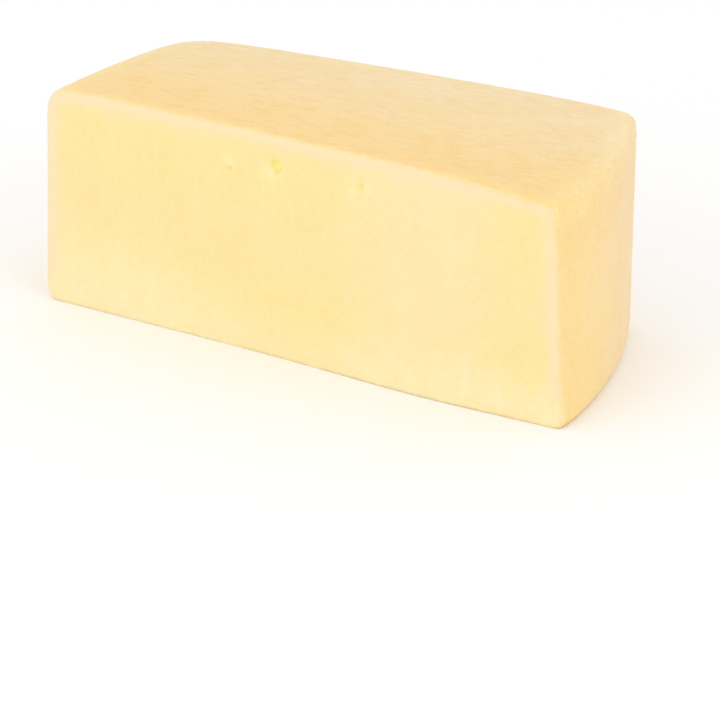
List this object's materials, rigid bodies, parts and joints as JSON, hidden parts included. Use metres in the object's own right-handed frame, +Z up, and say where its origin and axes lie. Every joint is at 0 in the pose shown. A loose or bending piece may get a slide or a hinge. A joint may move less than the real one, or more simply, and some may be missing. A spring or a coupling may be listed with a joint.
{
  "type": "cheese analogue block",
  "caption": "Block of firm, pale yellow cheese analogue with a flat cut face, softly rounded moulded sides and small eyes in the cut. Food to slice or serve, resting on its flat base.",
  "frame": {"origin": "centre of the bounding box's base, on the surface that the block rests on", "axes": "+X along the cut face, to the right as seen from in front of it; +Y from the cut face to the moulded back; +Z up"},
  "size_m": [0.1838, 0.0816, 0.0692],
  "materials": {
    "cheese_paste": "smooth waxy cheese paste, paler along the cut edges and a little darker on the moulded sides"
  },
  "bodies": {
    "root": {"cheese_block": "cheese_paste"}
  },
  "joints": []
}
